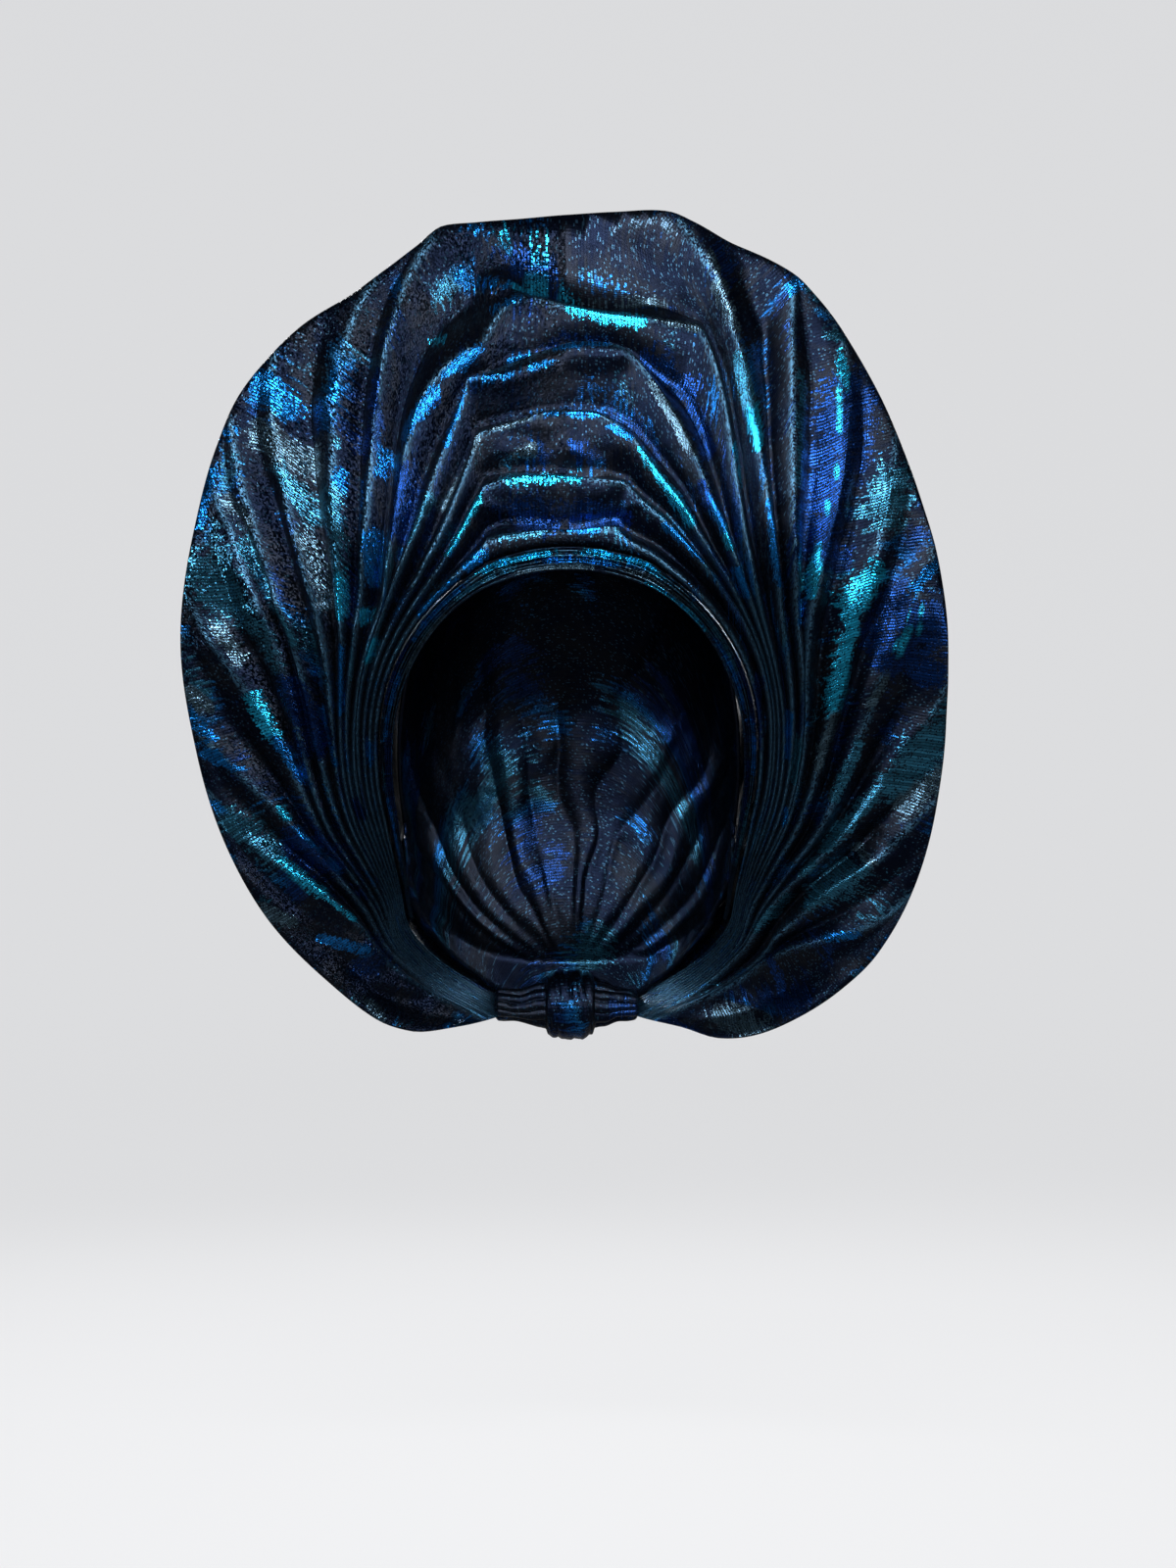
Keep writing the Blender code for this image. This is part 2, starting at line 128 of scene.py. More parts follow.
# The metallic patches woven into the cloth, as brush marks in the same drawing. half: half width, in drawing units.
MARKS = (
    # colour, half, x0, y0, x1, y1
    ("azure", 6, -112, 525, -82, 527), ("cyan", 7, -70, 527, -24, 528), ("ash", 6, -17, 527, 8, 530),
    ("ash", 5, 18, 530, 27, 530), ("ash", 6, 49, 532, 86, 535), ("ash", 7, 98, 534, 106, 524),
    ("cobalt", 17, -50, 502, -18, 480), ("azure", 8, -112, 486, -66, 473), ("cyan", 7, -55, 474, -30, 468),
    ("cyan", 9, -27, 475, 6, 468), ("steel", 9, 18, 467, 68, 463), ("steel", 5, 70, 463, 103, 461),
    ("steel", 5, 143, 502, 151, 484), ("steel", 8, 154, 468, 169, 428), ("teal", 7, 174, 397, 186, 350),
    ("cyan", 6, 189, 340, 195, 305), ("cyan", 10, 3, 446, 73, 431), ("azure", 6, -76, 447, -53, 457),
    ("steel", 5, 93, 433, 134, 425), ("cyan", 8, -145, 422, -132, 420), ("azure", 7, -114, 387, -91, 406),
    ("azure", 5, -127, 377, -112, 389), ("azure", 9, -170, 318, -137, 361), ("azure", 8, -62, 401, -44, 405),
    ("azure", 6, -12, 406, 40, 411), ("azure", 5, -38, 384, -14, 389), ("azure", 5, -84, 371, -60, 375),
    ("cobalt", 13, 87, 397, 123, 371), ("cobalt", 10, 131, 351, 149, 305), ("steel", 5, -76, 323, -43, 333),
    ("azure", 5, -20, 338, 29, 338), ("azure", 5, 41, 326, 64, 315), ("cyan", 8, 76, 302, 127, 228),
    ("steel", 7, 85, 371, 128, 300), ("azure", 6, 138, 264, 166, 208), ("cyan", 10, -61, 274, 6, 274),
    ("cobalt", 13, -52, 240, -20, 224), ("cobalt", 11, 18, 244, 62, 232), ("cobalt", 9, 3, 308, 16, 298),
    ("steel", 6, -71, 292, -38, 305), ("cyan", 6, -124, 198, -91, 252), ("azure", 5, -127, 305, -107, 361),
    ("steel", 6, -132, 244, -94, 313), ("azure", 5, 100, 224, 137, 190), ("teal", 5, -68, 211, -18, 218),
    ("azure", 5, -7, 220, 30, 220), ("cyan", 6, 174, 308, 180, 267), ("azure", 6, 205, 247, 216, 167),
    ("azure", 8, -104, 183, -86, 195), ("cobalt", 27, 288, 352, 262, 206), ("cyan", 7, 280, 360, 277, 296),
    ("cyan", 6, 277, 296, 262, 224), ("cyan", 6, 262, 224, 250, 152), ("teal", 19, 334, 268, 322, 238),
    ("cyan", 7, 278, 400, 284, 370), ("teal", 6, 263, 421, 280, 416), ("teal", 6, 233, 381, 240, 379),
    ("azure", 8, 229, 467, 236, 476), ("teal", 9, 243, 365, 238, 265), ("azure", 6, 238, 230, 240, 190),
    ("azure", 5, 240, 153, 240, 120), ("azure", 8, 378, 189, 354, 160), ("cyan", 12, 314, 176, 294, 144),
    ("cyan", 11, 291, 130, 292, 112), ("cyan", 9, 346, 134, 360, 116), ("cobalt", 24, 336, 132, 376, 118),
    ("cyan", 6, 192, 347, 197, 306), ("azure", 6, 207, 229, 215, 166), ("cobalt", 8, 138, 265, 146, 245),
    ("cyan", 6, 159, 224, 166, 204), ("azure", 6, 174, 178, 182, 153),
    ("azure", 13, -309, 369, -290, 345), ("azure", 6, -239, 380, -237, 351), ("teal", 5, -237, 312, -236, 306),
    ("azure", 7, -234, 278, -234, 265), ("teal", 10, -239, 257, -237, 187), ("cyan", 7, -235, 171, -234, 131),
    ("azure", 5, -233, 99, -233, 32), ("cobalt", 7, -196, 380, -202, 343), ("cobalt", 7, -207, 321, -212, 292),
    ("azure", 5, -215, 268, -218, 219), ("azure", 6, -191, 302, -195, 278), ("azure", 8, -203, 214, -202, 163),
    ("cyan", 5, -210, 134, -211, 123), ("cyan", 5, -199, 104, -205, 85), ("cobalt", 12, -172, 278, -172, 219),
    ("azure", 4, -173, 272, -172, 232), ("teal", 6, -143, 254, -164, 209), ("azure", 6, -116, 166, -154, 134),
    ("steel", 16, -312, 312, -272, 286), ("teal", 11, -293, 281, -266, 230), ("azure", 6, -354, 316, -341, 318),
    ("azure", 9, -365, 280, -378, 225), ("steel", 10, -349, 246, -328, 230), ("teal", 24, -374, 172, -352, 150),
    ("teal", 13, -350, 160, -325, 120), ("teal", 7, -336, 209, -282, 104), ("steel", 8, -271, 214, -250, 139),
    ("cyan", 11, -322, 45, -304, 10), ("azure", 6, -304, 10, -271, -38), ("steel", 8, -360, 123, -338, 83),
    ("azure", 10, -384, 26, -365, 8), ("steel", 9, -389, 53, -371, 37), ("azure", 8, -373, -6, -354, -16),
    ("azure", 5, -346, -24, -333, -22), ("cobalt", 13, -285, 56, -255, 0), ("azure", 4, -272, 40, -258, -5),
    ("azure", 4, -254, 29, -239, -22), ("cyan", 6, -295, -65, -287, -75), ("cobalt", 22, -276, -104, -250, -120),
    ("azure", 6, -277, -87, -232, -131), ("teal", 12, -347, -75, -299, -111), ("cyan", 8, -293, -117, -250, -154),
    ("cyan", 4, -250, -154, -218, -178), ("azure", 6, -362, -61, -353, -67), ("azure", 7, -252, -198, -210, -210),
    ("steel", 9, -311, -170, -281, -182), ("cobalt", 6, -216, -146, -208, -156), ("cobalt", 6, -218, -59, -210, -73),
    ("azure", 4, -204, 0, -202, -20), ("steel", 8, -204, -263, -190, -281), ("azure", 5, -125, -287, -117, -293),
    ("azure", 4, 243, 140, 241, 123), ("cyan", 11, 288, 108, 270, 38), ("cyan", 10, 360, 137, 338, 100),
    ("cobalt", 15, 310, 118, 324, 92), ("steel", 8, 272, 28, 255, -21), ("teal", 7, 298, 2, 272, -55),
    ("teal", 6, 235, 2, 229, -38), ("cobalt", 6, 195, 63, 193, -3), ("azure", 4, 226, 31, 223, -15),
    ("azure", 4, 222, -67, 220, -81), ("teal", 20, 380, 12, 338, -42), ("steel", 13, 342, -60, 380, -34),
    ("teal", 9, 312, -52, 261, -107), ("steel", 6, 289, -107, 312, -118), ("teal", 9, 301, -127, 243, -164),
    ("teal", 6, 249, -121, 238, -133), ("teal", 6, 223, -156, 192, -187), ("azure", 6, 264, -196, 295, -193),
    ("cobalt", 7, 206, -219, 215, -256), ("steel", 12, 155, -277, 195, -290), ("cobalt", 14, 350, 88, 370, 71),
    ("steel", 6, 324, 65, 307, 37),
)
COLOURS = {
    "cyan": (0.018, 0.400, 0.680), "azure": (0.007, 0.150, 0.470), "cobalt": (0.004, 0.030, 0.140),
    "teal": (0.030, 0.155, 0.260), "steel": (0.062, 0.120, 0.170), "ash": (0.020, 0.040, 0.064),
}


# ---------------------------------------------------------------- curves
def smooth(rows, column, at):
    """A curve through the rows' values in that column that never overshoots them."""
    x = np.array([r[0] for r in rows], float)
    y = np.array([r[column] for r in rows], float)
    at = np.clip(np.asarray(at, float), x[0], x[-1])
    step = np.diff(x)
    slope = np.diff(y) / step
    m = np.zeros(len(x))
    m[0], m[-1] = slope[0], slope[-1]
    for i in range(1, len(x) - 1):
        if slope[i - 1] * slope[i] > 0:
            w1, w2 = 2 * step[i] + step[i - 1], step[i] + 2 * step[i - 1]
            m[i] = (w1 + w2) / (w1 / slope[i - 1] + w2 / slope[i])
    k = np.clip(np.searchsorted(x, at) - 1, 0, len(x) - 2)
    t = (at - x[k]) / step[k]
    return (
        (1 + 2 * t) * (1 - t) ** 2 * y[k] + t * (1 - t) ** 2 * step[k] * m[k]
        + t * t * (3 - 2 * t) * y[k + 1] + t * t * (t - 1) * step[k] * m[k + 1]
    )


def ease(t):
    t = np.clip(t, 0, 1)
    return t * t * (3 - 2 * t)


def place(angle, radius, depth):
    """A point of the front drawing at a depth, so that from EYE it shows where it is drawn."""
    a = np.radians(angle)
    s = 1 + (depth - PLANE) / (PLANE - EYE[1])
    x = EYE[0] + (radius * UNIT * np.sin(a) - EYE[0]) * s
    z = EYE[2] + (radius * UNIT * np.cos(a) - EYE[2]) * s
    return np.stack([x, depth + 0 * x, z], axis=-1) - np.array(CROWN_SEAT)


def root_radius(angle):
    return smooth(INNER, 2, np.abs(angle))


def rim_radius(angle):
    return smooth(RIM, 1, angle)


def cloth(angle, radius):
    """The fan's smooth form, under its pleats."""
    root, rim = root_radius(angle), rim_radius(angle)
    t = (radius - root) / (rim - root)
    side = np.abs(angle)
    front, back, belly = (smooth(DEPTH, c, side) / 1000 for c in (1, 2, 3))
    return place(angle, radius, front + (back - front) * t - belly * 4 * t * (1 - t))


def across(angle, radius):
    """Unit vectors straight back through the fan's smooth form."""
    da = cloth(angle + 0.5, radius) - cloth(angle - 0.5, radius)
    dr = cloth(angle, radius + 1) - cloth(angle, radius - 1)
    n = np.cross(da, dr)
    n *= np.where(n[..., 1] < 0, -1, 1)[..., None]
    return n / np.linalg.norm(n, axis=-1)[..., None]


def ripple(x, y, seed):
    """Smooth noise from -1 to 1 with features about 1 across."""
    table = np.random.RandomState(seed).uniform(-1, 1, (64, 64))
    xi, yi = np.floor(x).astype(int), np.floor(y).astype(int)
    u, v = ease(x - xi), ease(y - yi)
    at = lambda i, j: table[(xi + i) % 64, (yi + j) % 64]
    return (at(0, 0) * (1 - u) + at(1, 0) * u) * (1 - v) + (at(0, 1) * (1 - u) + at(1, 1) * u) * v


def distance_to(u, v, points):
    """How far each point (u, v) of the drawing is from a line through the points."""
    least = np.full(np.shape(u), 1e9)
    for (x0, y0), (x1, y1) in zip(points, points[1:]):
        dx, dy = x1 - x0, y1 - y0
        t = np.clip(((u - x0) * dx + (v - y0) * dy) / max(dx * dx + dy * dy, 1e-9), 0, 1)
        least = np.minimum(least, np.hypot(u - x0 - t * dx, v - y0 - t * dy))
    return least


# ---------------------------------------------------------------- meshes
def solid_of(near, far, first_clipped=None):
    """Vertices and faces of a closed wall between two grids. first_clipped: for each column, the row from which rows share one point."""
    rows, columns = near.shape[:2]
    at = np.arange(rows * columns).reshape(rows, columns)
    if first_clipped is not None:
        row = np.minimum(np.arange(rows)[:, None], first_clipped[None, :])
        at = at[row, np.arange(columns)[None, :]]
    more = rows * columns
    quads = np.stack([at[:-1, :-1], at[:-1, 1:], at[1:, 1:], at[1:, :-1]], -1).reshape(-1, 4)
    back = quads[:, ::-1] + more
    edge = np.concatenate([at[0], at[1:, -1], at[-1, -2::-1], at[-2:0:-1, 0]])
    following = np.roll(edge, -1)
    band = np.stack([following, edge, edge + more, following + more], -1)
    faces = []
    for quad in np.concatenate([quads, back, band]).tolist():
        face = tuple(dict.fromkeys(quad))
        if len(face) > 2:
            faces.append(face)
    return np.concatenate([near.reshape(-1, 3), far.reshape(-1, 3)]), faces


def tube_of(rings):
    """Vertices and faces of a closed solid through rings of points, its two ends filled round a middle point."""
    count, sides = rings.shape[:2]
    points = np.concatenate([rings.reshape(-1, 3), rings[0].mean(0)[None], rings[-1].mean(0)[None]])
    at = np.arange(count * sides).reshape(count, sides)
    nxt = np.roll(at, -1, axis=1)
    faces = np.stack([at[:-1], nxt[:-1], nxt[1:], at[1:]], -1).reshape(-1, 4).tolist()
    first, last = count * sides, count * sides + 1
    faces += [(int(nxt[0, j]), int(at[0, j]), first) for j in range(sides)]
    faces += [(int(at[-1, j]), int(nxt[-1, j]), last) for j in range(sides)]
    return points, [tuple(f) for f in faces]


def make(name, points, faces, fields, finish):
    """An object from vertices and faces, with its point fields, loose points removed and normals outward."""
    mesh = bpy.data.meshes.new(name)
    mesh.from_pydata(points.tolist(), [], faces)
    for key, (kind, values) in fields.items():
        layer = mesh.attributes.new(key, kind, "POINT")
        kept_as = {"FLOAT_COLOR": "color", "FLOAT_VECTOR": "vector", "FLOAT": "value"}[kind]
        layer.data.foreach_set(kept_as, np.ascontiguousarray(values, np.float32).ravel())
    work = bmesh.new()
    work.from_mesh(mesh)
    bmesh.ops.delete(work, geom=[v for v in work.verts if not v.link_faces], context="VERTS")
    bmesh.ops.recalc_face_normals(work, faces=work.faces[:])
    work.to_mesh(mesh)
    work.free()
    mesh.shade_smooth()
    mesh.materials.append(finish)
    piece = bpy.data.objects.new(name, mesh)
    bpy.context.scene.collection.objects.link(piece)
    return piece


# ---------------------------------------------------------------- where the cloth lies against the crown wrap
def to_wrap(points, clear, first=0.065):
    """For each point, the nearest place a little in from the crown wrap's edges, just outside its folds by clear."""
    w = np.linspace(first, 0.94, 121)
    b = np.linspace(-0.985, 0.985, 161)
    W, B = np.meshgrid(w, b, indexing="ij")
    lift = wrap_lift(W, B)
    for axis in (0, 1):
        lift = np.max([lift] + [np.roll(lift, step, axis) for step in (-1, 1)], axis=0)
    outward = wrap_outward(W, B)
    skin = (arch_point(W, B) + outward * (WRAP_WALL + lift)[..., None]).reshape(-1, 3)
    outward = outward.reshape(-1, 3)
    nearest = np.array([((skin - p) ** 2).sum(-1).argmin() for p in points])
    found = skin[nearest] + outward[nearest] * np.broadcast_to(clear, len(points))[:, None]
    # The nearest grid points jump a little from column to column, so they are smoothed along the edge.
    for _ in range(6):
        found[1:-1] = (found[:-2] + 2 * found[1:-1] + found[2:]) / 4
    return found


# ---------------------------------------------------------------- the pleated fan
def crest(pleat, angle):
    """Radius of a pleat's crest at these angles."""
    _, slot, top, left, right, _ = pleat
    side = np.abs(angle)
    stack = root_radius(angle) + slot * smooth(STACK, 1, side)
    inside = smooth(top, 1, angle)
    for way, (corner, radius), (fall, bend) in ((-1, top[0], left), (1, top[-1], right)):
        corner = abs(corner)
        start = root_radius(corner) + slot * smooth(STACK, 1, corner)
        drop = stack + (radius - start) * np.exp(-((np.maximum(side - corner, 0) / fall) ** bend))
        inside = np.where((angle * way > corner), drop, inside)
    return inside


def fan_columns(count):
    """Angles of the fan's columns, closer together over the brow where the corners of the pleats are."""
    a = np.linspace(-END_ANGLE, END_ANGLE, 4001)
    weight = 1 + 0.85 * np.exp(-((a / 42) ** 4))
    total = np.concatenate([[0], np.cumsum((weight[1:] + weight[:-1]) / 2)])
    return np.interp(np.linspace(0, total[-1], count), total, a)


def slant(lines, angle):
    """How much closer together lines run than the same radii would, because they cross the angle at a slant."""
    turn = np.gradient(lines, np.radians(angle), axis=-1) / lines
    return 1 / np.sqrt(1 + turn**2)


def fan(finish):
    angle = fan_columns(304)
    root, rim = root_radius(angle), rim_radius(angle)
    side = ease(np.abs(angle) / 36)
    crests, low = [], root + 2.5
    for pleat in PLEATS:
        crests.append(np.maximum(crest(pleat, angle), low))
        low = crests[-1] + 2.4
    last = np.maximum(rim, crests[-1] + 4)
    lines, depths = [root], [np.full_like(root, 0.0014)]
    for i, pleat in enumerate(PLEATS):
        nearer, further = crests[i], crests[i + 1] if i + 1 < len(PLEATS) else last
        lean_left, lean_middle, lean_right = pleat[5]
        rows = ((-19, lean_left), (-10, lean_left), (-5, lean_middle), (5, lean_middle), (12, lean_right), (20, lean_right))
        lean = smooth(rows, 1, angle)
        lean = lean + (0.5 - lean) * side
        valley = nearer + lean * (further - nearer)
        gap = (further - nearer) * UNIT * slant((nearer + further) / 2, angle)
        depth = PLEAT_DEPTH * (1 - np.exp(-1.15 * gap / PLEAT_DEPTH))
        fade = ease((rim - valley) * UNIT / (RIM_FADE * (0.62 + 0.38 * side)))
        depths += [np.zeros_like(root), depth * (0.10 + 0.90 * fade)]
        lines += [nearer, valley]
    lines.append(last)
    depths.append(np.full_like(root, 0.0004))

    radius, back, widths = [], [], []
    for k in range(len(lines) - 1):
        steps = 3 if k == 0 else (7 if k % 2 else 8)
        for t in np.arange(steps) / steps:
            if k == 0:
                at, s = t, depths[0] * (1 - t) ** 2
            elif k % 2:      # crest to valley
                power = 1.25 + 0.45 * side
                at = t ** 1.35
                s = depths[k + 1] * (np.sqrt(at**2 + 0.012) - 0.1095) / 0.8965
                s = depths[k + 1] * ((1 - side) * s / np.maximum(depths[k + 1], 1e-9) + side * at**1.7)
            else:            # valley to crest
                at = 1 - (1 - t) ** 1.35
                power = 1.75
                s = depths[k] * (1 - at) ** power
            radius.append(lines[k] + at * (lines[k + 1] - lines[k]))
            back.append(s)
    radius.append(lines[-1])
    back.append(depths[-1])
    radius, back = np.array(radius), np.array(back)

    # Rows past the rim stop at it.
    clipped = (radius >= rim[None, :]).argmax(axis=0)
    for j in range(len(angle)):
        back[clipped[j]:, j] = np.interp(rim[j], radius[:, j], back[:, j])
    radius = np.minimum(radius, rim[None, :])

    turn = np.broadcast_to(angle, radius.shape)
    u, v = radius * np.sin(np.radians(turn)), radius * np.cos(np.radians(turn))
    inner = ease((radius - root) / 60)
    for height, width, points in CREASES:
        d = distance_to(u, v, points)
        back = back - height / 1000 * np.exp(-((d / width) ** 2))
    # Soft unevenness that hand pleating leaves, and a finer crumple.
    along = np.arange(radius.shape[0])[:, None] * 0.055
    back = back + inner * (
        0.0010 * ripple(u / 62 + 7, v / 62 + 3, 5)
        + 0.0008 * ripple(along + 0 * turn, turn / 9.0, 11)
        + 0.00030 * ripple(u / 17, v / 17, 17)
        + 0.00012 * ripple(u / 7, v / 7, 23)
    )
    # The rim rolls back a little.
    edge = np.clip(1 - (rim[None, :] - radius) * UNIT / 0.0028, 0, 1)
    back = back + 0.0006 * edge**2

    straight = across(turn, radius)
    # Towards the rim the folds go straight back from the eye, so that they don't shift the outline.
    form = cloth(turn, radius)
    ray = form - (np.array(EYE) - np.array(CROWN_SEAT))
    ray /= np.linalg.norm(ray, axis=-1)[..., None]
    straight = straight + (ray - straight) * ease(1 - (rim[None, :] - radius) / 45)[..., None]
    straight /= np.linalg.norm(straight, axis=-1)[..., None]
    near = form + straight * back[..., None]
    # Painted glint: a mask that is 1 within about a millimetre of each pleat crest. The shader paints brighter thread
    # colour there for the light the crests catch.
    off_crest = np.min([np.abs(radius - line[None, :]) + 99 * (line >= rim - 1)[None, :] for line in crests], axis=0)
    crest_glint = np.exp(-((off_crest * UNIT * slant(radius, angle) / 0.0010) ** 2))
    # Inside its root the cloth turns in under the brow pleats, and past their ends it lies against the crown wrap.
    base = near[0]
    behind_band = -0.0012 + BAND_DEPTH * (0.35 + 0.65 * np.clip((BAND_END - np.abs(angle)) / 44, 0, 1)) + 0.0008
    tucked = place(angle, root - 2.5, smooth(DEPTH, 1, np.abs(angle)) / 1000 + behind_band)
    seat = to_wrap(base, 0.0030 - 0.0011 * ease((np.abs(angle) - 117) / 7))
    # At the wrap's feet the lip laps a little higher.
    higher = np.exp(-(((np.abs(angle) - 125) / 7) ** 2))
    seat[:, 2] += 0.0070 * higher
    seat[:, 0] += 0.0005 * higher * np.sign(angle)
    low_side = ease((np.abs(angle) - 106) / 9)[:, None]
    tip = tucked + (seat - tucked) * low_side
    bulge = np.array([0, 0.0018, 0]) * low_side
    inset = np.linspace(0, 1, 19)[:-1]
    folds = [4 * t * (1 - t) * np.abs(np.sin(math.pi * (4.6 * t + 0.45 * ripple(angle / 6 + 4, 0 * angle, 91)))) for t in inset]
    lip = [
        tip + (base - tip) * t + 4 * t * (1 - t) * bulge - straight[0] * (0.0019 * f)[:, None] * ease((np.abs(angle) - 136) / 8)[:, None]
        for t, f in zip(inset, folds)
    ]
    near = np.concatenate([np.array(lip), near])
    straight = np.concatenate([np.repeat(straight[:1], len(lip), axis=0), straight])
    back = np.concatenate([np.repeat(back[:1], len(lip), axis=0), back])
    crest_glint = np.concatenate([np.zeros((len(lip), len(angle))), crest_glint])
    radius = np.concatenate([root[None, :] - 4 * (1 - inset[:, None]), radius])
    turn = np.broadcast_to(angle, radius.shape)
    u, v = radius * np.sin(np.radians(turn)), radius * np.cos(np.radians(turn))
    clipped = clipped + len(lip)
    rise = np.gradient(back, axis=0)
    run = np.maximum(np.abs(np.gradient(radius, axis=0)) * UNIT, 5e-5)
    slope = np.minimum(np.abs(rise) / run, 1.4)
    # Shrink the wall where rows are packed, so that it can't cross itself.
    wall = CLOTH * np.sqrt(1 + slope**2)
    far = near + straight * wall[..., None]

    along = np.concatenate([np.zeros((len(radius), 1)), np.cumsum(np.linalg.norm(np.diff(near, axis=1), axis=-1), axis=1)], axis=1)
    along -= along[:, len(angle) // 2][:, None]
    step = np.linalg.norm(np.diff(near, axis=0), axis=-1)
    steep = slant(radius, angle)[1:]
    step = np.where(radius[1:] < rim[None, :] - 0.01, step * steep, np.nan)
    step = np.nan_to_num(np.nanpercentile(step, 93, axis=1), nan=0.0003)
    wide = np.concatenate([[0], np.cumsum(step)])[:, None] + 0 * along
    weave = np.stack([along * 1000, wide * 1000, 0 * along], -1)

    tint = np.zeros((*radius.shape, 4))
    for colour, half, x0, y0, x1, y1 in MARKS:
        half = half * 0.72 if half < 12 else half
        d = distance_to(u, v, ((x0, y0), (x1, y1)))
        field = np.clip(1 - 0.5 * d / half, 0, 1)
        more = field > tint[..., 3]
        tint[..., :3] = np.where(more[..., None], COLOURS[colour], tint[..., :3])
        tint[..., 3] = np.maximum(tint[..., 3], field)
    plain = np.zeros_like(tint)

    points, faces = solid_of(near, far, clipped)
    behind = weave + np.array([0, 0, 1.0])
    fields = {
        "weave": ("FLOAT_VECTOR", np.concatenate([weave.reshape(-1, 3), behind.reshape(-1, 3)])),
        "foil": ("FLOAT_COLOR", np.concatenate([tint.reshape(-1, 4), plain.reshape(-1, 4)])),
        "crest_glint": ("FLOAT", np.concatenate([crest_glint.ravel(), 0 * crest_glint.ravel()])),
    }
    return make("pleated_fan", points, faces, fields, finish)


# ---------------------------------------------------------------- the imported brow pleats
BAND_END, BAND_DEPTH, GAP = 138.3, 0.0085, 0.0006
FOLDS = (
    # share of the band's width at the middle and at the jaws, height of the ridge as a share of the depth
    (0.10, 0.12, 0.20), (0.27, 0.30, 0.26), (0.43, 0.46, 0.24), (0.60, 0.62, 0.26), (0.78, 0.80, 0.24), (0.93, 0.93, 0.16),
)

BAND_MARKS = (
    # colour, from angle, to angle, share of the band's width from its edge
    ("steel", -62, -46, 0.05, 0.25), ("azure", -52, -38, 0.55, 0.80), ("teal", -34, -20, 0.30, 0.50), ("cyan", -24, -8, 0.62, 0.82),
    ("steel", -14, 4, 0.06, 0.20), ("azure", -4, 14, 0.36, 0.52), ("cyan", 8, 24, 0.66, 0.90), ("steel", 22, 36, 0.28, 0.46),
    ("cyan", 30, 46, 0.05, 0.24), ("teal", 44, 60, 0.50, 0.72), ("azure", 58, 76, 0.20, 0.42), ("azure", -86, -70, 0.40, 0.66),
    ("cobalt", -104, -90, 0.10, 0.60), ("azure", 84, 96, 0.60, 0.86), ("cobalt", 98, 112, 0.16, 0.44), ("azure", -122, -110, 0.48, 0.74),
    ("teal", 112, 122, 0.50, 0.80), ("cobalt", -74, -60, 0.74, 0.94), ("cobalt", 66, 82, 0.72, 0.94),
)


